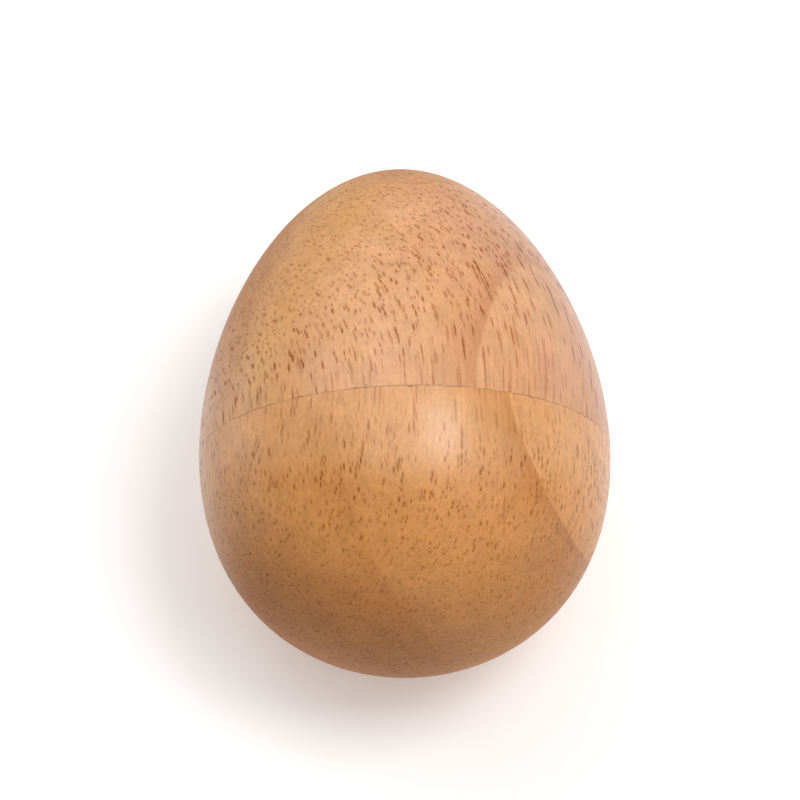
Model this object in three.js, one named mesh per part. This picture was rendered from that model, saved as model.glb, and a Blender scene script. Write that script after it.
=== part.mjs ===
// A wooden egg shaker: two hollow half shells turned from rubberwood, glued together on a
// rabbet joint round the egg's widest circle, with loose steel shot sealed in the chamber.
//
// Frame, in millimetres: the egg lies on its side, as it does on a table. +Y runs along the
// egg's axis towards its small end, +Z is up, and the origin is on the table, below the
// middle of the egg's length.

import * as THREE from "three";

// The outside of the egg.
const EGG_LENGTH = 60;
const BELLY_RADIUS = 23.6; // at the widest circle
const JOINT_Y = -4.6; // where the egg is widest, and the two halves meet
const TAPER = 0.154; // how far the width shifts from the small end to the blunt end
const FULLNESS = 0.026; // how far both ends fill out beyond an ellipse

// The chamber that the shot rattles in: a rounded hollow in each half.
const BORE_RADIUS = 18;
const BLUNT_DEPTH = 18; // from the joint to the bottom of the blunt half's hollow
const SMALL_DEPTH = 23; // from the socket's floor to the bottom of the small half's hollow

// The rabbet joint: a tenon on the blunt half, in a socket in the small half.
const TENON_RADIUS = 20.6;
const TENON_LENGTH = 4;
const TENON_CHAMFER = 0.5;
const SOCKET_RADIUS = 20.8;
const SOCKET_DEPTH = 4.6; // deeper than the tenon is long, so that the shoulders close first
const SHOULDER_GAP = 0.06; // the hairline of glue that shows round the egg

// The glue, a film round the tenon that ends in a bead of squeeze-out.
const GLUE_GAP = 0.03; // from the glue's faces to the wood
const GLUE_START = 0.4; // from the tenon's shoulder to the film's edge
const BEAD_RADIUS = 19; // how far in the bead reaches

// The steel shot, in one layer that fills the lowest part of the chamber.
const SHOT_RADIUS = 1.75;
const SHOT_PITCH = 3.9; // between neighbouring balls, seen from above
const SHOT_GAP = 0.1; // from a ball to the chamber's wall
const POOL_RISE = 4.3; // how far above the lowest ball the highest may lie

// Facets.
const TURN_STEPS = 48; // round the egg's axis
const BLUNT_STEPS = 10; // along the outside of the blunt half
const SMALL_STEPS = 13; // along the outside of the small half
const HOLLOW_STEPS = 9; // along each hollow
const WALL_STEPS = 200; // along each hollow, to measure a ball's distance from the wall
const HALVINGS = 30; // until a ball's height is found
const SHOT_DETAIL = 1; // how often an icosahedron's faces are split

const HALF_LENGTH = EGG_LENGTH / 2;
const SOCKET_FLOOR = JOINT_Y + SOCKET_DEPTH;
const TENON_END = JOINT_Y + TENON_LENGTH;

// ---- Profiles: radius from the egg's axis against the place along it ----

// An ellipse, made fuller at the blunt end; u runs from -1 at the blunt end to 1 at the small end.
function eggShape(u) {
  return Math.sqrt(Math.max(0, 1 - u * u)) * (1 - TAPER * u + FULLNESS * u * u);
}

const SHAPE_TO_RADIUS = BELLY_RADIUS / eggShape(JOINT_Y / HALF_LENGTH);

function outsideRadius(y) {
  return SHAPE_TO_RADIUS * eggShape(y / HALF_LENGTH);
}

// Half an ellipse in each half of the egg, and a straight bore between them.
function chamberRadius(y) {
  const beyond =
    y < JOINT_Y ? (JOINT_Y - y) / BLUNT_DEPTH : Math.max(0, y - SOCKET_FLOOR) / SMALL_DEPTH;
  return BORE_RADIUS * Math.sqrt(Math.max(0, 1 - beyond * beyond));
}

// Points of a profile between two places, closer together near the pole, where it curves most.
function arc(radiusAt, pole, mouth, steps) {
  const points = [];
  for (let i = 0; i <= steps; i++) {
    const y = pole + (mouth - pole) * (1 - Math.cos((i / steps) * (Math.PI / 2)));
    points.push(new THREE.Vector2(i ? radiusAt(y) : 0, y));
  }
  return points;
}

// ---- Pieces ----

function finish(color, roughness, metalness) {
  return new THREE.MeshStandardMaterial({ color, roughness, metalness });
}

// A solid turned about the egg's axis. A facet, and not an edge, faces the table, and the
// middle of each facet touches the true circle.
function turned(name, profile, material) {
  const halfStep = Math.PI / TURN_STEPS;
  const geometry = new THREE.LatheGeometry(profile, TURN_STEPS, halfStep);
  geometry.scale(1 / Math.cos(halfStep), 1, 1 / Math.cos(halfStep));
  const mesh = new THREE.Mesh(geometry, material);
  mesh.name = name;
  return mesh;
}

function bluntShell() {
  const outside = arc(outsideRadius, -HALF_LENGTH, JOINT_Y, BLUNT_STEPS);
  const tenon = [
    new THREE.Vector2(TENON_RADIUS, JOINT_Y),
    new THREE.Vector2(TENON_RADIUS, TENON_END - TENON_CHAMFER),
    new THREE.Vector2(TENON_RADIUS - TENON_CHAMFER, TENON_END),
    new THREE.Vector2(BORE_RADIUS, TENON_END),
  ];
  const hollow = arc(chamberRadius, JOINT_Y - BLUNT_DEPTH, JOINT_Y, HOLLOW_STEPS).reverse();
  const rubberwood = finish("#d59a63", 0.4, 0);
  return turned("blunt_end_shell", [...outside, ...tenon, ...hollow], rubberwood);
}

function smallShell() {
  const shoulder = JOINT_Y + SHOULDER_GAP;
  const hollow = arc(chamberRadius, SOCKET_FLOOR + SMALL_DEPTH, SOCKET_FLOOR, HOLLOW_STEPS);
  const socket = [
    new THREE.Vector2(SOCKET_RADIUS, SOCKET_FLOOR),
    new THREE.Vector2(SOCKET_RADIUS, shoulder),
  ];
  const outside = arc(outsideRadius, HALF_LENGTH, shoulder, SMALL_STEPS).reverse();
  const rubberwood = finish("#dfa878", 0.4, 0);
  return turned("small_end_shell", [...hollow, ...socket, ...outside], rubberwood);
}

function glueLine() {
  const inside = TENON_RADIUS + GLUE_GAP;
  const outside = SOCKET_RADIUS - GLUE_GAP;
  const start = JOINT_Y + GLUE_START;
  const profile = [
    new THREE.Vector2(inside, start),
    new THREE.Vector2(outside, start),
    new THREE.Vector2(outside, SOCKET_FLOOR - GLUE_GAP),
    new THREE.Vector2(BEAD_RADIUS, SOCKET_FLOOR - GLUE_GAP),
    new THREE.Vector2(BEAD_RADIUS, TENON_END + GLUE_GAP),
    new THREE.Vector2(inside, TENON_END + GLUE_GAP),
    new THREE.Vector2(inside, start),
  ];
  return turned("glue_line", profile, finish("#d9c79a", 0.5, 0));
}

// ---- Shot ----

const WALL = [
  ...arc(chamberRadius, JOINT_Y - BLUNT_DEPTH, JOINT_Y, WALL_STEPS),
  ...arc(chamberRadius, SOCKET_FLOOR + SMALL_DEPTH, SOCKET_FLOOR, WALL_STEPS).reverse(),
];

// Whether a ball is inside the chamber and clear of its wall.
function isClear(fromAxis, y) {
  const reach = SHOT_RADIUS + SHOT_GAP;
  const centre = new THREE.Vector2(fromAxis, y);
  return fromAxis < chamberRadius(y) - reach && WALL.every((p) => centre.distanceTo(p) > reach);
}

// How far below the egg's axis a ball that drops straight down comes to rest, above a place on
// the chamber's floor. It is 0 where no ball fits.
function restDepth(x, y) {
  let low = 0;
  let high = BORE_RADIUS;
  for (let i = 0; i < HALVINGS; i++) {
    const middle = (low + high) / 2;
    if (isClear(Math.hypot(x, middle), y)) low = middle;
    else high = middle;
  }
  return low;
}

// Balls in staggered rows, one layer deep, wherever the chamber's floor is low enough.
function shot() {
  const middle = (JOINT_Y + SOCKET_FLOOR) / 2;
  const deepest = restDepth(0, middle);
  const rowPitch = SHOT_PITCH * Math.sin(Math.PI / 3);
  const reach = Math.ceil(HALF_LENGTH / SHOT_PITCH);
  const balls = [];
  for (let row = -reach; row <= reach; row++) {
    for (let place = -reach; place <= reach; place++) {
      const x = row * rowPitch;
      const y = middle + (place + (row % 2 ? 0.5 : 0)) * SHOT_PITCH;
      const depth = restDepth(x, y);
      if (depth < deepest - POOL_RISE) continue;
      const sphere = new THREE.IcosahedronGeometry(SHOT_RADIUS, SHOT_DETAIL);
      const ball = new THREE.Mesh(sphere, finish("#9a9c9f", 0.3, 1));
      ball.name = `shot_${String(balls.length + 1).padStart(2, "0")}`;
      ball.position.set(x, y, -depth);
      balls.push(ball);
    }
  }
  return balls;
}

// ---- Assembly ----

const egg = new THREE.Group();
egg.position.z = BELLY_RADIUS;
egg.add(bluntShell(), smallShell(), glueLine(), ...shot());

const part = new THREE.Group();
part.add(egg);

export default part;
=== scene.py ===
"""A wooden egg shaker: two turned halves, the glue between them and the steel shot inside.

Lengths are in millimetres until a mesh is made, and then in metres. Every turned piece shares
the egg's axis, which runs along +Y towards the small end.
"""

import math
import random

import bmesh
import bpy
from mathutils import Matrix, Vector, noise


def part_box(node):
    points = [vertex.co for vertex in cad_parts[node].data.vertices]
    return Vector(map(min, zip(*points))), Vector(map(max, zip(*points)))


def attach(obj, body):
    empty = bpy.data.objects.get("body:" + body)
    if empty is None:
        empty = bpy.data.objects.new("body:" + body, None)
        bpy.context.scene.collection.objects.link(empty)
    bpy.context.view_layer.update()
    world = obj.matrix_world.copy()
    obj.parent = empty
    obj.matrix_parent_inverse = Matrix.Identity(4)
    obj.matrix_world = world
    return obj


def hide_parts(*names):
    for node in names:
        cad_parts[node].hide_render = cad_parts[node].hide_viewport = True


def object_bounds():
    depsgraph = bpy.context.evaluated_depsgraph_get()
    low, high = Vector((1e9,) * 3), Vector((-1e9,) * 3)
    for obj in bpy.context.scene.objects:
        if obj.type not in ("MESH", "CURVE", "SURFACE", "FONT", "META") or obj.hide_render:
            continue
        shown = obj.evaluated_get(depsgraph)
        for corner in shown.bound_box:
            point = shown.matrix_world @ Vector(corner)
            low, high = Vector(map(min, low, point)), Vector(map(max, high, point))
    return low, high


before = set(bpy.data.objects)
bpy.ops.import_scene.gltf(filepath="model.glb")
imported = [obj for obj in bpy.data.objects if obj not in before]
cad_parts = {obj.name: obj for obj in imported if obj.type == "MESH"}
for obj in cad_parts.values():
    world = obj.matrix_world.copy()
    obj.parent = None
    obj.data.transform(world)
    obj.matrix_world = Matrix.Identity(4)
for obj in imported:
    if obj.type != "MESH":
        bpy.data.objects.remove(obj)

MM = 0.001
EGG_BODY = "egg"
CAD_LOW, CAD_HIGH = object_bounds()

# ---- Sizes, from the frame where it has them ----

AXIS_HEIGHT = (CAD_LOW.z + CAD_HIGH.z) / 2 / MM
HALF_LENGTH = (CAD_HIGH.y - CAD_LOW.y) / 2 / MM
BELLY_RADIUS = (CAD_HIGH.z - CAD_LOW.z) / 2 / MM
SHOULDER_GAP = 0.06  # between the two halves' shoulders
SHOULDER_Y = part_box("small_end_shell")[0].y / MM
JOINT_Y = SHOULDER_Y - SHOULDER_GAP
TENON_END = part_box("blunt_end_shell")[1].y / MM
GLUE_GAP = 0.03  # from the glue to the wood, in the socket
SOCKET_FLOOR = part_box("glue_line")[1].y / MM + GLUE_GAP
SOCKET_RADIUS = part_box("glue_line")[1].x / MM + GLUE_GAP
GLUE_SPACE = 0.2  # from the tenon to the socket's wall
TENON_RADIUS = SOCKET_RADIUS - GLUE_SPACE
TENON_CHAMFER = 0.5
BEAD_RADIUS = 19  # how far in the bead of glue reaches

# The egg's outline: an ellipse, made fuller at the blunt end.
TAPER = 0.154
FULLNESS = 0.026

# The chamber: a straight bore with half an ellipsoid at each end.
BORE_RADIUS = 18
BLUNT_DEPTH = 18
SMALL_DEPTH = 23

TURN_STEPS = 288  # round the egg's axis
ON_AXIS = 1e-6  # a point with a smaller radius is one on the axis
SHARP_ANGLE = 40  # in degrees, from which an edge is sharp


def egg_shape(u):
    """The outline's shape; u runs from -1 at the blunt end to 1 at the small end."""
    return math.sqrt(max(0.0, 1 - u * u)) * (1 - TAPER * u + FULLNESS * u * u)


SHAPE_TO_RADIUS = BELLY_RADIUS / egg_shape(JOINT_Y / HALF_LENGTH)


def outside_radius(y):
    """The egg's radius at a place along its axis."""
    return SHAPE_TO_RADIUS * egg_shape(y / HALF_LENGTH)


def chamber_radius(y):
    """The chamber's radius, straight between the two hollows."""
    if y < JOINT_Y:
        beyond = (JOINT_Y - y) / BLUNT_DEPTH
    else:
        beyond = max(0.0, y - SOCKET_FLOOR) / SMALL_DEPTH
    return BORE_RADIUS * math.sqrt(max(0.0, 1 - beyond * beyond))


# ---- Turned pieces ----

OUTSIDE, INSIDE = 0, 1  # a shell's two materials


def wobble(radius, y, angle, wavelength, amount, seed):
    """Smooth noise over a surface, from -amount to amount."""
    place = Vector((radius * math.cos(angle), y, radius * math.sin(angle))) / wavelength
    return amount * noise.noise(place + Vector((seed, 0, 0)))


def turned(name, profile, materials, shape=None):
    """Turns a profile about the egg's axis. A profile is a list of (radius, y, material).

    It starts and ends on the axis, or else it closes on itself. The shape, if there is one, moves
    a point of the surface: it takes and gives back a radius and a y.
    """
    mesh = bmesh.new()
    rings = []
    for index, (radius, y, _) in enumerate(profile):
        if radius < ON_AXIS:
            rings.append([mesh.verts.new((0, y * MM, AXIS_HEIGHT * MM))])
            continue
        ring = []
        for step in range(TURN_STEPS):
            angle = 2 * math.pi * step / TURN_STEPS
            r, along = shape(index, radius, y, angle) if shape else (radius, y)
            across = (r * math.cos(angle), AXIS_HEIGHT + r * math.sin(angle))
            ring.append(mesh.verts.new((across[0] * MM, along * MM, across[1] * MM)))
        rings.append(ring)
    on_axis = len(rings[0]) == 1
    pairs = list(zip(rings, rings[1:] if on_axis else rings[1:] + rings[:1]))
    for index, (ring, after) in enumerate(pairs):
        for step in range(TURN_STEPS):
            beyond = (step + 1) % TURN_STEPS
            corners = [ring[step % len(ring)], ring[beyond % len(ring)]]
            corners += [after[beyond % len(after)], after[step % len(after)]]
            face = mesh.faces.new(list(dict.fromkeys(corners)))
            face.smooth = True
            face.material_index = profile[index][2]
    bmesh.ops.recalc_face_normals(mesh, faces=mesh.faces)
    return finished(name, mesh, materials)


def finished(name, mesh, materials):
    """Makes an object of a bmesh, with its sharp edges marked."""
    data = bpy.data.meshes.new(name)
    mesh.to_mesh(data)
    mesh.free()
    for material in materials:
        data.materials.append(material)
    data.set_sharp_from_angle(angle=math.radians(SHARP_ANGLE))
    piece = bpy.data.objects.new(name, data)
    bpy.context.scene.collection.objects.link(piece)
    return piece


OUTSIDE_STEPS = 64
LAST_STEPS = (0.3, 0.6, 0.8, 0.9, 0.96)  # shares of the last step, ever closer to the shoulder
EDGE = 0.015  # the softened edge of each shoulder
EDGE_STEPS = 3
SANDING = (7.0, 0.012)  # wavelength and height of the unevenness that hand sanding leaves
CHIPPING = (0.9, 0.024)  # wavelength and depth of the chips along the hairline
CHIP_REACH = 0.3  # how far from the joint they reach


def outside_profile(pole, edge_y, side):
    """The outside of one half, from its pole to the softened edge of its shoulder."""
    points = []
    stop = edge_y + side * EDGE
    for i in range(OUTSIDE_STEPS):
        y = pole + (stop - pole) * (1 - math.cos(math.pi / 2 * i / OUTSIDE_STEPS))
        points.append((outside_radius(y) if i else 0.0, y, OUTSIDE))
    reached = points[-1][1]
    for share in LAST_STEPS:
        y = reached + (stop - reached) * share
        points.append((outside_radius(y), y, OUTSIDE))
    edge_radius = outside_radius(stop)
    for i in range(EDGE_STEPS + 1):
        turn = math.pi / 2 * i / EDGE_STEPS
        radius = edge_radius - EDGE * (1 - math.cos(turn))
        points.append((radius, stop - side * EDGE * math.sin(turn), OUTSIDE))
    return points


HOLLOW_STEPS = 90
RIDGE_PITCH = 1.6  # between the tool marks in the chamber
RIDGE_HEIGHT = 0.05


def hollow_profile(pole, mouth):
    """A hollow's wall, from its bottom to its mouth, with the ridges that a gouge leaves."""
    points = []
    for i in range(HOLLOW_STEPS + 1):
        y = pole + (mouth - pole) * (1 - math.cos(math.pi / 2 * i / HOLLOW_STEPS))
        ridge = RIDGE_HEIGHT * (0.5 + 0.5 * math.sin(2 * math.pi * (y - pole) / RIDGE_PITCH))
        points.append((chamber_radius(y) + ridge if i else 0.0, y, INSIDE))
    return points


def shell_shape(outside_count):
    """Moves a shell's points: sanding outside, and small chips along the hairline."""

    def shape(index, radius, y, angle):
        if index >= outside_count:
            return radius, y
        radius += wobble(radius, y, angle, *SANDING, seed=3)
        near_edge = max(0.0, 1 - abs(y - JOINT_Y) / CHIP_REACH)
        chip = wobble(BELLY_RADIUS, 0, angle, *CHIPPING, seed=11)
        return radius - near_edge * max(0.0, chip), y

    return shape


def blunt_shell(materials):
    """The blunt half: its outside, the joint's tenon and its hollow."""
    outside = outside_profile(-HALF_LENGTH, JOINT_Y, -1)
    tenon = [
        (TENON_RADIUS, JOINT_Y, INSIDE),
        (TENON_RADIUS, TENON_END - TENON_CHAMFER, INSIDE),
        (TENON_RADIUS - TENON_CHAMFER, TENON_END, INSIDE),
        (BORE_RADIUS, TENON_END, INSIDE),
    ]
    hollow = hollow_profile(JOINT_Y - BLUNT_DEPTH, JOINT_Y)[::-1]
    profile = outside + tenon + hollow
    return turned("blunt_half", profile, materials, shell_shape(len(outside)))


def small_shell(materials):
    """The small half: its outside, the joint's socket and its hollow."""
    outside = outside_profile(HALF_LENGTH, SHOULDER_Y, 1)
    socket = [
        (SOCKET_RADIUS, SHOULDER_Y, INSIDE),
        (SOCKET_RADIUS, SOCKET_FLOOR, INSIDE),
    ]
    hollow = hollow_profile(SOCKET_FLOOR + SMALL_DEPTH, SOCKET_FLOOR)[::-1]
    profile = outside + socket + hollow
    return turned("small_half", profile, materials, shell_shape(len(outside)))


FILM_GAP = 0.01  # from the film between the shoulders to the wood
FILM_RECESS = 0.012  # how far the film stays below the outside
RECESS = (3.0, 0.01)  # wavelength and height of that recess's unevenness
BEAD_STEPS = 8
BEAD_SAG = 0.3  # how far the bead bulges
DRIP = (2.5, 0.36)  # wavelength and height of the bead's drips


def glue_ring(material):
    """The film of glue between the shoulders and in the socket, and the bead that it ends in.

    The film shows as the hairline round the egg. The bead is squeezed out into the relief gap.
    """
    inner, outer = TENON_RADIUS + GLUE_GAP, SOCKET_RADIUS - GLUE_GAP
    top, bottom = SOCKET_FLOOR - GLUE_GAP, TENON_END + GLUE_GAP
    film_low, film_high = JOINT_Y + FILM_GAP, SHOULDER_Y - FILM_GAP
    rim = BELLY_RADIUS - FILM_RECESS
    bead = []
    for i in range(BEAD_STEPS + 1):
        turn = math.pi * i / BEAD_STEPS
        reach = BEAD_RADIUS + BEAD_SAG * (1 - math.sin(turn))
        bead.append((reach, (top + bottom) / 2 + (top - bottom) / 2 * math.cos(turn), 0))
    profile = [(inner, film_low, 0), (rim, film_low, 0), (rim, film_high, 0), (outer, film_high, 0)]
    profile.append((outer, top, 0))
    first = len(profile)
    profile += bead + [(inner, bottom, 0)]

    def shape(index, radius, y, angle):
        if index in (1, 2):
            return radius + wobble(radius, 0, angle, *RECESS, seed=31), y
        if first <= index < first + len(bead):
            return radius + BEAD_SAG + wobble(radius, 0, angle, *DRIP, seed=23), y
        return radius, y

    return turned("glue_bead", profile, [material], shape)


# ---- Shot ----

DENTS = 26
DENT_WIDTHS = (0.1, 0.3)  # from the narrowest to the widest, as shares of the ball's radius
DENT_DEPTHS = (0.009, 0.03)
OUT_OF_ROUND = 0.006  # a share of the radius too
LUMPS = 1.3  # per radius


def shot_ball(name, node, material):
    """A ball of tumbled steel shot: a little out of round, and dented all over."""
    low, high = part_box(node)
    centre, radius = (low + high) / 2, (high.z - low.z) / 2
    mesh = bmesh.new()
    bmesh.ops.create_icosphere(mesh, subdivisions=4, radius=1)
    dice = random.Random(node)
    dents = []
    for _ in range(DENTS):
        towards = Vector((dice.gauss(0, 1), dice.gauss(0, 1), dice.gauss(0, 1))).normalized()
        dents.append((towards, dice.uniform(*DENT_WIDTHS), dice.uniform(*DENT_DEPTHS)))
    seed = Vector((dice.uniform(0, 99), 0, 0))
    for vert in mesh.verts:
        towards = vert.co.normalized()
        size = 1 - OUT_OF_ROUND * (1 + noise.noise(towards * LUMPS + seed))
        for middle, width, depth in dents:
            size -= depth * max(0.0, 1 - (towards - middle).length / width) ** 2
        vert.co = centre + towards * radius * size
    for face in mesh.faces:
        face.smooth = True
    return finished(name, mesh, [material])


# ---- Shader nodes ----


class Number:
    """A number that varies over a surface: a node's output that takes part in arithmetic."""

    def __init__(self, graph, socket):
        self.graph = graph
        self.socket = socket

    def __add__(self, other):
        return self.graph.math("ADD", self, other)

    def __sub__(self, other):
        return self.graph.math("SUBTRACT", self, other)

    def __rsub__(self, other):
        return self.graph.math("SUBTRACT", other, self)

    def __mul__(self, other):
        return self.graph.math("MULTIPLY", self, other)

    def __truediv__(self, other):
        return self.graph.math("DIVIDE", self, other)

    def __abs__(self):
        return self.graph.math("ABSOLUTE", self)

    __radd__ = __add__
    __rmul__ = __mul__


class Graph:
    """Adds nodes to a new material. A value is a plain one, a Number or a node's output."""

    def __init__(self, name):
        self.material = bpy.data.materials.new(name)
        self.material.use_nodes = True
        self.nodes = self.material.node_tree.nodes
        self.links = self.material.node_tree.links
        self.shader = self.nodes["Principled BSDF"]

    def put(self, socket, value):
        if isinstance(value, Number):
            value = value.socket
        if isinstance(value, bpy.types.NodeSocket):
            self.links.new(value, socket)
        else:
            socket.default_value = value

    def add(self, kind, inputs, **settings):
        node = self.nodes.new("ShaderNode" + kind)
        for key, value in settings.items():
            setattr(node, key, value)
        for key, value in inputs.items():
            self.put(node.inputs[key], value)
        return node

    def math(self, operation, a, b=0.0):
        node = self.add("Math", {0: a, 1: b}, operation=operation)
        return Number(self, node.outputs[0])

    def combine(self, x, y, z):
        return self.add("CombineXYZ", {0: x, 1: y, 2: z}).outputs[0]

    def split(self, vector):
        return [Number(self, part) for part in self.add("SeparateXYZ", {0: vector}).outputs]

    def step(self, value, low, high, to_low=0.0, to_high=1.0):
        """A smooth step from to_low, where the value is low, to to_high, where it is high."""
        inputs = {"Value": value, "From Min": low, "From Max": high}
        inputs |= {"To Min": to_low, "To Max": to_high}
        node = self.add("MapRange", inputs, interpolation_type="SMOOTHSTEP")
        return Number(self, node.outputs["Result"])

    def mix(self, share, a, b, blend="MIX"):
        node = self.add("Mix", {0: share, 6: a, 7: b}, data_type="RGBA", blend_type=blend)
        return node.outputs[2]

    def tint(self, share, colour, by):
        """The colour multiplied by another, by a share."""
        return self.mix(share, colour, by, "MULTIPLY")

    def noise(self, vector, scale=1.0, detail=2.0, roughness=0.5):
        inputs = {"Vector": vector, "Scale": scale, "Detail": detail, "Roughness": roughness}
        return Number(self, self.add("TexNoise", inputs).outputs[0])

    def bump(self, height, distance, strength=1.0):
        inputs = {"Height": height, "Distance": distance, "Strength": strength}
        return self.add("Bump", inputs).outputs[0]

    def finish(self, **inputs):
        for name, value in inputs.items():
            self.put(self.shader.inputs[name.replace("_", " ")], value)
        return self.material


def linear(red, green, blue):
    """A colour for a shader, from its screen values of 0 to 255."""
    channels = []
    for value in (red, green, blue):
        share = value / 255
        channels.append(share / 12.92 if share <= 0.04045 else ((share + 0.055) / 1.055) ** 2.4)
    return (*channels, 1.0)


# ---- Rubberwood ----

SWAY = 1.2  # how far the fibres wander sideways
SWAY_SCALE = 0.07  # per mm


class Grain:
    """Coordinates in a block of wood with bent fibres, in millimetres.

    x and z stay the same along a fibre, and along runs with it from the joint. The fibres lean
    towards -X and rise towards +Z, by slopes that change over the block.
    """

    def __init__(self, graph, lean, rise):
        coordinates = graph.add("TexCoord", {}).outputs
        x, y, z = graph.split(coordinates["Object"])
        x = x * (1 / MM)
        z = z * (1 / MM) - AXIS_HEIGHT
        along = y * (1 / MM) - JOINT_Y
        at_joint, across, further = lean
        climb = along * (x * rise[1] + rise[0])
        inputs = {"Vector": graph.combine(x, along, z), "Scale": SWAY_SCALE, "Detail": 1.0}
        sway = graph.split(graph.add("TexNoise", inputs).outputs["Color"])
        self.x = x + along * (x * across + along * (further / 2) + at_joint) + (sway[0] - 0.5) * SWAY
        self.z = z - along * climb * 0.5 + (sway[1] - 0.5) * SWAY
        self.along = along
        slope = x * across + along * further + at_joint
        fibre = graph.add(
            "VectorMath", {0: graph.combine(slope * -1, 1.0, climb)}, operation="NORMALIZE"
        )
        self.normal = coordinates["Normal"]
        facing = graph.add(
            "VectorMath", {0: self.normal, 1: fibre.outputs[0]}, operation="DOT_PRODUCT"
        )
        self.end_grain = abs(Number(graph, facing.outputs["Value"]))

    def at(self, graph, unevenness, offset=0.0):
        """The place in the block, scaled as an unevenness is across the grain and along it."""
        across, along, seed = unevenness
        shift = offset + seed
        return graph.combine(self.x * across + shift, self.along * along + shift, self.z * across)


# What is uneven in the wood and its lacquer: how quickly it changes per mm across the grain and
# along it, and a seed of its own.
BLOTCHES = (0.11, 0.05, 0.0)
YELLOWING = (0.16, 0.09, 31.0)
STREAKS = (3.2, 0.12, 7.0)
FLECKS = (4.5, 2.4, 17.0)
MOTTLING = (0.45, 0.3, 11.0)
RUBS = (0.34, 0.34, 71.0)
RUB_EDGES = (2.6, 2.2, 5.0)
NICKS = (1.1, 5.0, 43.0)

# How far each of these brightens or darkens the wood.
STREAK_DEPTH = 0.06
FLECK_DEPTH = 0.07
MOTTLE_DEPTH = 0.06

RING_EDGE = 0.15  # how far either side of a growth ring's edge its dark fades


def growth_rings(graph, radius, rings):
    """How dark the growth rings are: each darkens outwards, and ends at a sharp edge."""
    total = 0.0
    for edge, width, depth in rings:
        inside = edge - radius
        fade = graph.math("EXPONENT", abs(inside) * (-1 / width))
        total = total + fade * graph.step(inside, -RING_EDGE, RING_EDGE) * depth
    return total


def plank_colour(graph, grain, radius, plank, colours):
    """The wood's colour without its vessels, at a radius from the tree's pith, and the painted shade
    on the egg's sides.
    """
    offset = plank["offset"]
    blotch = graph.noise(grain.at(graph, BLOTCHES, offset), 1.0, 3.0)
    tone = growth_rings(graph, radius, plank["rings"]) + graph.step(blotch, 0.35, 0.75, 0.0, 0.3)
    colour = graph.mix(tone, colours["pale"], colours["deep"])
    hue = graph.step(graph.noise(grain.at(graph, YELLOWING, offset)), 0.42, 0.68) * 0.25
    for middle, width, depth in plank["bands"]:
        hue = hue + graph.step(abs(radius - middle), 0.0, width, depth, 0.0)
    colour = graph.mix(hue, colour, colours["yellow"])
    # Painted shade: a darker tint where the surface faces each of the plank's painted shade
    # directions.
    for towards, low, high, tint in plank["painted_shade"]:
        facing = graph.add("VectorMath", {0: grain.normal, 1: towards}, operation="DOT_PRODUCT")
        facing = Number(graph, facing.outputs["Value"])
        colour = graph.tint(graph.step(facing, low, high), colour, tint)
    for low, high, tint in colours["end_grain"]:
        colour = graph.tint(graph.step(grain.end_grain, low, high), colour, tint)
    return colour


VESSEL_SIZES = (0.7, 1.15)  # from the narrowest to the widest, against their layer's size
VESSEL_EDGE = (0.8, 1.12)  # where a vessel's dark starts and ends to fade, against its radius
HALO = 3.0  # the radius of a vessel's stained surroundings, against its own
CROWDING_SCALE = 0.22  # per cell, of where the vessels are crowded or sparse
CROWDING = 0.3  # how far the share of cells with a vessel rises or falls there
OPEN_SCALE = 0.24  # per mm along a vessel, of where it is open
OPEN_FROM = (0.38, 0.5)  # the noise at which it starts to be open, and is fully open
FAINTEST = 0.35  # how dark the faintest vessel is, against the darkest
ONE_EACH = 60.0  # spreads the vessels out in a noise, so that each has a stretch of its own

# Layers of vessels: cells per mm, size against the plank's vessels, share of the cells that have
# a vessel, and a seed. The twins touch the large ones, and so have their places and their seed.
CLOSED_VESSELS = dict(per_mm=1.0, size=1.4, share=0.35, seed=23.7)
LARGE_VESSELS = dict(per_mm=1.85, size=1.0, share=0.85, seed=3.1)
TWIN_VESSELS = dict(per_mm=1.85, size=0.9, share=0.3, seed=3.1, beside=(0.1, 0.2))
SMALL_VESSELS = dict(per_mm=2.7, size=0.62, share=0.45, seed=57.4)
CLOSED_DARKNESS = 0.6
SMALL_DARKNESS = 0.75
HALO_DARKNESS = 0.2


def vessels(graph, grain, plank, per_mm, size, share, seed, beside=(0.0, 0.0)):
    """Where a layer of vessels is cut open, from 0 to 1, and their stained surroundings.

    They are thin tubes along the grain, so that they show as long dashes where the surface runs
    along the grain and as dots where it cuts across. Each has a size, a darkness and closed
    stretches of its own. The flatness is a vessel's width against its height.
    """
    flatness = plank["flatness"]
    radius = plank["vessel_radius"] * size
    seed = plank["offset"] + seed
    x = (grain.x + beside[0]) * per_mm + seed
    z = (grain.z + beside[1] / flatness) * (per_mm * flatness)
    inputs = {"Vector": graph.combine(x, z, 0.0), "Scale": 1.0}
    cell = graph.add("TexVoronoi", inputs, voronoi_dimensions="2D").outputs
    dice = graph.split(cell["Color"])
    reach = Number(graph, cell["Distance"]) / per_mm / graph.step(dice[0], 0.0, 1.0, *VESSEL_SIZES)
    hole = graph.step(reach, radius * VESSEL_EDGE[0], radius * VESSEL_EDGE[1], 1.0, 0.0)
    crowd = graph.noise(cell["Position"], CROWDING_SCALE)
    chance = graph.step(crowd, 0.3, 0.7, share - CROWDING, share + CROWDING)
    chosen = graph.step(chance - dice[1], -0.01, 0.01)
    own = graph.combine(dice[0] * ONE_EACH, grain.along * OPEN_SCALE, dice[2] * ONE_EACH)
    opened = graph.step(graph.noise(own, 1.0, 1.0), *OPEN_FROM)
    strength = chosen * opened * graph.step(dice[2], 0.0, 1.0, FAINTEST, 1.0)
    halo = graph.step(reach, radius, radius * HALO, 1.0, 0.0)
    return hole * strength, halo * strength


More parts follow.
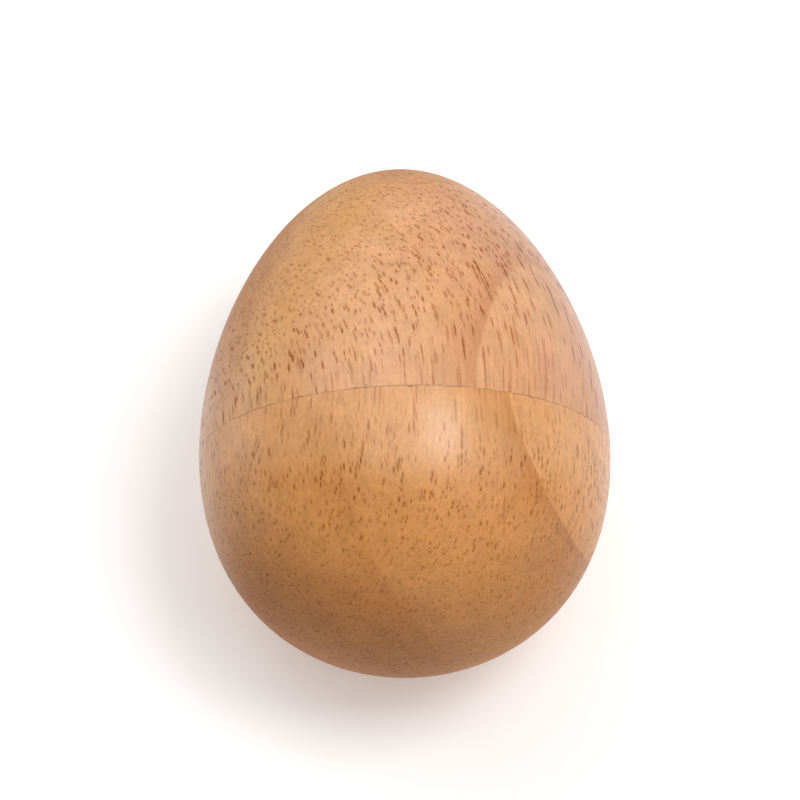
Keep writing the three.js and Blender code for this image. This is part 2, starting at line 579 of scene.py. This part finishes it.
def open_vessels(graph, grain, radius, plank):
    """All the vessels that are cut open, and the surroundings that they stain.

    They are fainter on the end grain, and beyond the ring where the wood gets dense. Where the
    surface runs along the grain, they are as dark as the plank says.
    """
    fade = graph.step(grain.end_grain, 0.35, 0.95, 1.0, 0.6)
    fade = fade * graph.step(grain.end_grain, 0.05, 0.35, plank["lengthwise"], 1.0)
    fade = fade * graph.step(radius, plank["dense"] - 0.5, plank["dense"] + 0.5, 1.0, 0.75)
    holes, halos = vessels(graph, grain, plank, **LARGE_VESSELS)
    twins, twin_halos = vessels(graph, grain, plank, **TWIN_VESSELS)
    small, small_halos = vessels(graph, grain, plank, **SMALL_VESSELS)
    both = graph.math("MAXIMUM", holes, twins)
    opened = graph.math("MAXIMUM", both, small * SMALL_DARKNESS) * fade
    both = graph.math("MAXIMUM", halos, twin_halos)
    return opened, graph.math("MAXIMUM", both, small_halos) * fade


def scuffs(graph, grain, colour):
    """Sparse pale rubs in the lacquer."""
    cell = graph.add("TexVoronoi", {"Vector": grain.at(graph, RUBS), "Scale": 1.0}).outputs
    dice = graph.split(cell["Color"])
    edge = graph.noise(grain.at(graph, RUB_EDGES), 1.0, 3.0, 0.6)
    reach = Number(graph, cell["Distance"]) + (edge - 0.5) * 0.4
    spot = graph.step(reach, 0.03, 0.16, 1.0, 0.0) * graph.step(dice[0], 0.84, 0.86)
    return graph.mix(spot * 0.16, colour, linear(226, 200, 170))


def joint_wear(graph, grain, colour):
    """The hairline's stain, which comes and goes round the egg, with small nicks beside it."""
    distance = abs(grain.along - SHOULDER_GAP / 2)
    round_egg = graph.combine(grain.x, 0.0, grain.z)
    stain = graph.step(graph.noise(round_egg, 0.45, 2.0), 0.4, 0.65)
    line = graph.step(distance, 0.05, 0.13, 1.0, 0.0) * (stain * 0.2 + 0.04)
    nick = graph.step(graph.noise(grain.at(graph, NICKS), 1.0, 1.0), 0.70, 0.74)
    near = graph.step(distance, 0.2, 0.6, 1.0, 0.0)
    colour = graph.tint(line, colour, linear(150, 96, 56))
    return graph.tint(nick * near * 0.7, colour, linear(160, 120, 90))


VESSEL_DEPTH = 0.03 * MM
VESSEL_DULLNESS = 0.2  # how much rougher an open vessel is than the wood round it
RAW_ROUGHNESS = 0.75
LACQUER_FILL = 0.3  # how much of the vessels' relief is left under the lacquer
# The lacquer along the grain and on the end grain, which it sinks into, so that it is duller there.
LACQUER_ROUGHNESS = (0.4, 0.65)
LACQUER_GLOSS = (0.38, 0.06)


def rubberwood(name, plank, colours, lacquered=True):
    """Sanded rubberwood, lacquered on the outside of the egg and raw inside it."""
    graph = Graph(name)
    grain = Grain(graph, plank["lean"], plank["rise"])
    from_x = grain.x - plank["pith"][0]
    from_z = grain.z - plank["pith"][1]
    radius = graph.math("SQRT", from_x * from_x + from_z * from_z)
    colour = plank_colour(graph, grain, radius, plank, colours)

    streak = graph.noise(grain.at(graph, STREAKS, plank["offset"]), 1.0, 3.0, 0.6)
    fleck = graph.noise(grain.at(graph, FLECKS, plank["offset"]), 1.0, 3.0, 0.65)
    mottle = graph.noise(grain.at(graph, MOTTLING, plank["offset"]), 1.0, 3.0, 0.6)
    bright = graph.step(streak, 0.25, 0.75, -STREAK_DEPTH, STREAK_DEPTH)
    bright = bright + graph.step(fleck, 0.25, 0.75, -FLECK_DEPTH, FLECK_DEPTH)
    bright = bright + graph.step(mottle, 0.3, 0.7, 1 - MOTTLE_DEPTH, 1 + MOTTLE_DEPTH)
    colour = graph.tint(1.0, colour, graph.combine(bright, bright, bright))

    ghosts, _ = vessels(graph, grain, plank, **CLOSED_VESSELS)
    colour = graph.tint(ghosts * CLOSED_DARKNESS, colour, colours["ghost"])
    opened, halo = open_vessels(graph, grain, radius, plank)
    colour = graph.tint(halo * HALO_DARKNESS, colour, colours["vessel"])
    colour = graph.tint(opened, colour, colours["vessel"])

    height = streak * 0.05 + fleck * 0.05 - opened
    if not lacquered:
        normal = graph.bump(height, VESSEL_DEPTH)
        roughness = opened * VESSEL_DULLNESS + RAW_ROUGHNESS
        return graph.finish(Base_Color=colour, Roughness=roughness, Normal=normal)
    colour = scuffs(graph, grain, colour)
    colour = joint_wear(graph, grain, colour)
    normal = graph.bump(height, VESSEL_DEPTH, LACQUER_FILL)
    dullness = graph.step(grain.end_grain, 0.35, 0.9, *LACQUER_ROUGHNESS)
    gloss = graph.step(grain.end_grain, 0.35, 0.85, *LACQUER_GLOSS)
    roughness = opened * VESSEL_DULLNESS + dullness
    graph.finish(Base_Color=colour, Roughness=roughness, Normal=normal)
    graph.finish(Specular_IOR_Level=0.35, Specular_Tint=(1.0, 0.88, 0.76, 1.0))
    return graph.finish(Coat_Weight=gloss, Coat_Roughness=0.25)


GLUE_STAIN_START = 21.5  # how far from the egg's axis the glue starts to be stained
GLUE_CLOUDS = 900.0  # per metre, as are the other scales of the glue and the steel
GLUE_LUMPS = 2400.0
GLUE_LUMP_DEPTH = 0.05 * MM


def dried_glue():
    """Yellowish wood glue. Where it comes out between the halves, it is stained like the wood."""
    graph = Graph("dried_glue")
    place = graph.add("TexCoord", {}).outputs["Object"]
    x, _, z = graph.split(place)
    x = x * (1 / MM)
    z = z * (1 / MM) - AXIS_HEIGHT
    from_axis = graph.math("SQRT", x * x + z * z)
    cloud = graph.noise(place, GLUE_CLOUDS, 3.0)
    colour = graph.mix(cloud, linear(226, 206, 158), linear(196, 164, 104))
    stain = graph.step(graph.noise(graph.combine(x, 0.0, z), 0.45), 0.35, 0.65)
    stained = graph.mix(stain, linear(228, 174, 124), linear(190, 138, 90))
    outside = graph.step(from_axis, GLUE_STAIN_START, GLUE_STAIN_START + 1)
    colour = graph.mix(outside, colour, stained)
    lumps = graph.noise(place, GLUE_LUMPS)
    graph.finish(Base_Color=colour, Roughness=graph.step(cloud, 0.3, 0.7, 0.35, 0.6))
    return graph.finish(Normal=graph.bump(lumps, GLUE_LUMP_DEPTH))


STEEL_CLOUDS = 1200.0
STEEL_SCUFFS = 7000.0
STEEL_SCUFF_DEPTH = 0.01 * MM


def shot_steel():
    """Grey steel with darker clouds, dulled by fine scuffs."""
    graph = Graph("shot_steel")
    place = graph.add("TexCoord", {}).outputs["Object"]
    cloud = graph.noise(place, STEEL_CLOUDS, 4.0, 0.6)
    colour = graph.mix(cloud, linear(150, 151, 154), linear(118, 115, 112))
    scuff = graph.noise(place, STEEL_SCUFFS, 3.0, 0.7)
    graph.finish(Base_Color=colour, Roughness=graph.step(scuff, 0.3, 0.7, 0.25, 0.5), Metallic=1.0)
    return graph.finish(Normal=graph.bump(scuff, STEEL_SCUFF_DEPTH))


# ---- The two halves' wood ----

# The wood is pale, deep in its growth rings and yellow in bands. The other colours multiply it: a
# ghost is a closed vessel, and a vessel an open one. A row of end_grain says how much end grain
# shows where its tint starts, how much where it is whole, and the tint.
SMALL_COLOURS = dict(
    pale=linear(224, 168, 124),
    deep=linear(208, 147, 105),
    yellow=linear(218, 161, 95),
    ghost=(0.92, 0.78, 0.52, 1.0),
    vessel=(0.53, 0.28, 0.06, 1.0),
    end_grain=(),
)
BLUNT_COLOURS = dict(
    pale=linear(224, 164, 111),
    deep=linear(199, 136, 82),
    yellow=linear(217, 155, 92),
    ghost=(0.94, 0.82, 0.6, 1.0),
    vessel=(0.56, 0.37, 0.12, 1.0),
    end_grain=((0.26, 0.45, (0.94, 0.84, 0.61, 1.0)),),
)
RAW_COLOURS = dict(
    pale=linear(214, 176, 132),
    deep=linear(190, 146, 104),
    yellow=linear(206, 166, 116),
    ghost=(0.9, 0.8, 0.6, 1.0),
    vessel=(0.6, 0.5, 0.4, 1.0),
    end_grain=((0.25, 1.0, (0.9, 0.85, 0.78, 1.0)),),
)

# Each half's piece of wood. The lean is given at the joint, and by how much it grows for each mm
# towards +X and along the grain; the rise for each mm along the grain, and its growth towards +X.
# A growth ring is its radius from the pith, the width of its dark side and how dark it is. A band
# is the radius of its middle, its reach to either side and how yellow it is. Each row of painted
# shade is a broad darker tint by the way that the surface faces, painted where the egg's sides
# fall into shade: it has a direction, how squarely the surface faces it where the tint starts and
# where it is whole, and the tint. Lengthwise is how dark the vessels are where the surface runs
# along them, against those that it cuts across. From the radius called dense outwards, they are
# fainter.
SMALL_RING, BLUNT_RING = 69.1, 59.45  # the boldest growth ring of each half
SMALL_PLANK = dict(
    offset=41.0,
    lean=(0.056, -0.0068, 0.0149),
    rise=(0.0201, -0.0015),
    pith=(-38.05, -29.47),
    rings=(
        (SMALL_RING, 0.25, 0.4),
        (SMALL_RING, 1.3, 0.7),
        (SMALL_RING, 6.0, 0.25),
        (71.5, 0.6, 0.3),
        (57.0, 2.0, 0.2),
    ),
    bands=((52.0, 9.5, 0.5),),
    # Painted shade on the egg's sides, by the way that the surface faces.
    painted_shade=(
        ((-0.5, 0.87, 0.0), 0.4, 1.0, (0.80, 0.75, 0.56, 1.0)),
        ((0.5, 0.87, 0.0), 0.4, 0.85, (0.82, 0.73, 0.63, 1.0)),
        ((-0.94, 0.34, 0.0), 0.7, 0.85, (0.84, 0.75, 0.63, 1.0)),
        ((0.91, -0.33, 0.26), 0.6, 1.0, (0.85, 0.78, 0.80, 1.0)),
    ),
    vessel_radius=0.122,
    flatness=0.62,
    lengthwise=0.9,
    dense=SMALL_RING,
)
BLUNT_PLANK = dict(
    offset=87.0,
    lean=(-0.007, 0.0093, 0.003),
    rise=(0.0067, 0.0),
    pith=(-40.2, -8.9),
    rings=(
        (BLUNT_RING, 0.25, 0.3),
        (BLUNT_RING, 1.5, 0.7),
        (BLUNT_RING, 7.0, 0.25),
        (63.8, 1.0, 0.5),
        (45.1, 2.0, 0.35),
    ),
    bands=(),
    # Painted shade on the egg's sides, by the way that the surface faces.
    painted_shade=(
        ((-0.5, -0.87, 0.0), 0.6, 1.0, (0.71, 0.61, 0.42, 1.0)),
        ((0.5, -0.87, 0.0), 0.6, 1.0, (0.77, 0.74, 0.71, 1.0)),
        ((-0.17, -0.95, 0.26), 0.75, 1.0, (0.9, 0.87, 0.94, 1.0)),
        ((-0.94, -0.34, 0.0), 0.7, 1.0, (0.80, 0.72, 0.52, 1.0)),
    ),
    vessel_radius=0.108,
    flatness=0.85,
    lengthwise=0.55,
    dense=200.0,  # past the whole half
)


# ---- Assembly ----


def place_pieces():
    """Makes each piece, and says what it rides on and what it replaces."""
    small = [
        rubberwood("rubberwood_small", SMALL_PLANK, SMALL_COLOURS),
        rubberwood("raw_wood_small", SMALL_PLANK, RAW_COLOURS, lacquered=False),
    ]
    blunt = [
        rubberwood("rubberwood_blunt", BLUNT_PLANK, BLUNT_COLOURS),
        rubberwood("raw_wood_blunt", BLUNT_PLANK, RAW_COLOURS, lacquered=False),
    ]
    made = [
        (small_shell(small), "small_end_shell", EGG_BODY, "small_end_wood"),
        (blunt_shell(blunt), "blunt_end_shell", EGG_BODY, "blunt_end_wood"),
        (glue_ring(dried_glue()), "glue_line", EGG_BODY, "wood_glue"),
    ]
    steel = shot_steel()
    for node in sorted(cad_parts):
        if node.startswith("shot_"):
            made.append((shot_ball(f"steel_{node}", node, steel), node, node, "steel_shot"))
    for piece, node, body, slot in made:
        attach(piece, body)
        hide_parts(node)


# ---- Floor, light and camera, in metres ----

SWEEP_STEPS = 96
SWEEP = ((3.0, 0.0), (3.1, 0.01), (3.2, 0.05), (3.25, 0.12), (3.27, 0.3))  # radius and height
NEAR_GLOW = 0.25  # so that the egg's shadow stays faint
FAR_GLOW = 0.85  # so that the table stays white where the lights don't reach
GLOW_RISE = (0.25, 1.2)  # how far from the middle of the table the glow starts and ends to rise


def floor():
    """A round white table, far larger than the view, that sweeps up at its rim."""
    mesh = bmesh.new()
    rings = []
    for radius, height in SWEEP:
        ring = []
        for step in range(SWEEP_STEPS):
            angle = 2 * math.pi * step / SWEEP_STEPS
            ring.append(mesh.verts.new((radius * math.cos(angle), radius * math.sin(angle), height)))
        rings.append(ring)
    mesh.faces.new(rings[0])
    for inner, outer in zip(rings, rings[1:]):
        for step in range(SWEEP_STEPS):
            beyond = (step + 1) % SWEEP_STEPS
            mesh.faces.new((inner[step], outer[step], outer[beyond], inner[beyond]))
    graph = Graph("white_table")
    place = graph.add("TexCoord", {}).outputs["Object"]
    distance = graph.add("VectorMath", {0: place}, operation="LENGTH").outputs["Value"]
    glow = graph.step(distance, *GLOW_RISE, NEAR_GLOW, FAR_GLOW)
    graph.finish(Base_Color=(0.9, 0.9, 0.9, 1), Roughness=0.7)
    graph.finish(Emission_Color=(1, 1, 1, 1), Emission_Strength=glow)
    table = finished("table", mesh, [graph.material])
    table.location.z = CAD_LOW.z


LIGHT_DISTANCE = 0.9
SOFTBOX = 0.7
LIGHTS = (  # name, direction, size and power in watts
    ("key", (0.343, 0.025, 0.938), 0.32, 3.1),
    ("above", (0.0, 0.0, 1.0), SOFTBOX, 2.5),
    ("right", (1.0, -0.3, 1.0), SOFTBOX, 1.9),
    ("behind", (0.0, 1.0, 1.0), SOFTBOX, 1.3),
    ("behind_left", (-0.7, 0.7, 1.0), SOFTBOX, 2.2),
)
WORLD_COLOUR = (1.0, 0.98, 0.96, 1)
WORLD_STRENGTH = 0.03


def area_light(name, towards, size, power):
    """A square softbox that faces the middle of the egg, from a direction."""
    data = bpy.data.lights.new(name, "AREA")
    data.size = size
    data.energy = power
    light = bpy.data.objects.new(name, data)
    direction = Vector(towards).normalized()
    light.location = (CAD_LOW + CAD_HIGH) / 2 + direction * LIGHT_DISTANCE
    light.rotation_euler = direction.to_track_quat("Z", "Y").to_euler()
    bpy.context.scene.collection.objects.link(light)


def lights():
    """The softboxes, and a faint light from all round."""
    world = bpy.data.worlds.new("studio")
    world.use_nodes = True
    background = world.node_tree.nodes["Background"]
    background.inputs["Color"].default_value = WORLD_COLOUR
    background.inputs["Strength"].default_value = WORLD_STRENGTH
    bpy.context.scene.world = world
    for light in LIGHTS:
        area_light(*light)
    bpy.context.scene.view_settings.view_transform = "Standard"


CAMERA_AZIMUTH = -1.41  # in degrees, as is the elevation
CAMERA_ELEVATION = 70
CAMERA_DISTANCE = 0.470
CAMERA_LENS = 183.6  # in mm
AIM_RIGHT, AIM_UP = -0.43 * MM, 2.16 * MM  # from the egg's middle to the middle of the picture
CLIP_START = 0.01


def camera():
    """A camera that looks down at the egg, from the side of its blunt end."""
    azimuth, elevation = math.radians(CAMERA_AZIMUTH), math.radians(CAMERA_ELEVATION)
    back = Vector(
        (
            math.sin(azimuth) * math.cos(elevation),
            -math.cos(azimuth) * math.cos(elevation),
            math.sin(elevation),
        )
    )
    right = Vector((math.cos(azimuth), math.sin(azimuth), 0))
    up = back.cross(right)
    data = bpy.data.cameras.new("camera")
    data.lens = CAMERA_LENS
    data.clip_start = CLIP_START
    made = bpy.data.objects.new("camera", data)
    aim = (CAD_LOW + CAD_HIGH) / 2 + right * AIM_RIGHT + up * AIM_UP
    made.location = aim + back * CAMERA_DISTANCE
    made.rotation_euler = back.to_track_quat("Z", "Y").to_euler()
    bpy.context.scene.collection.objects.link(made)
    bpy.context.scene.camera = made


camera()
lights()
floor()
place_pieces()
